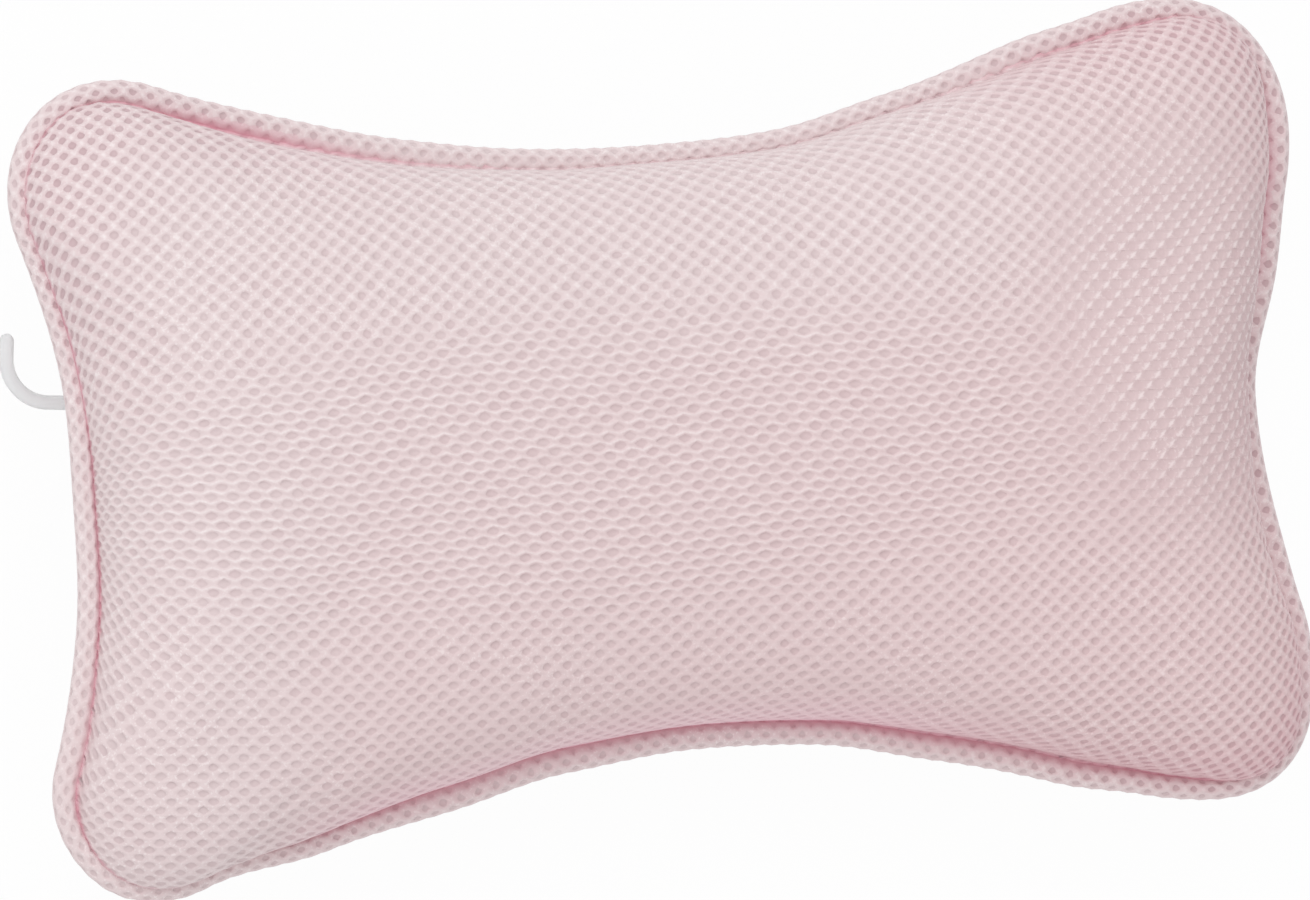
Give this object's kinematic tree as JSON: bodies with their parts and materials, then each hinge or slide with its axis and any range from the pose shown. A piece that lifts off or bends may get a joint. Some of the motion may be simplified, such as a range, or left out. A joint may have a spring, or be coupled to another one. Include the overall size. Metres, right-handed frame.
{
  "type": "bath pillow",
  "caption": "Bone-shaped bath pillow of open spacer mesh with a piped seam and soft fill, held to the bath by suction cups on back tabs, each with a swivelling hook.",
  "frame": {"origin": "on the plane of the suction cup lips, below the middle of the cushion", "axes": "+X along the cushion's length, +Y to its upper long side, +Z out of its front face"},
  "size_m": [0.3359, 0.2038, 0.0859],
  "materials": {
    "mesh_fabric": "pale pink open polyester spacer mesh",
    "piping_fabric": "pale pink spacer mesh folded round a cord",
    "cord": "white twisted filler cord",
    "fill": "white polyester fibre fill",
    "webbing": "pale pink woven webbing",
    "clear_pvc": "clear soft vinyl",
    "hook_plastic": "frosted translucent plastic"
  },
  "bodies": {
    "cushion": {"front_panel": "mesh_fabric", "back_panel": "mesh_fabric", "piping_cover": "piping_fabric", "piping_cord": "cord", "fill_core": "fill", "left_tab": "webbing", "right_tab": "webbing"},
    "left_cup": {"left_suction_cup": "clear_pvc"},
    "right_cup": {"right_suction_cup": "clear_pvc"},
    "left_hook": {"left_hook": "hook_plastic"},
    "right_hook": {"right_hook": "hook_plastic"}
  },
  "joints": [
    {"name": "left_cup_spin", "type": "hinge", "parent": "cushion", "child": "left_cup", "pos_m": [-0.105, 0.018, 0], "axis": [0, 0, 1], "continuous": true},
    {"name": "right_cup_spin", "type": "hinge", "parent": "cushion", "child": "right_cup", "pos_m": [0.105, 0.018, 0], "axis": [0, 0, 1], "continuous": true},
    {"name": "left_hook_swivel", "type": "hinge", "parent": "left_cup", "child": "left_hook", "pos_m": [-0.105, 0.018, 0.0121], "axis": [0, 0, 1], "continuous": true},
    {"name": "right_hook_swivel", "type": "hinge", "parent": "right_cup", "child": "right_hook", "pos_m": [0.105, 0.018, 0.0121], "axis": [0, 0, 1], "continuous": true}
  ]
}
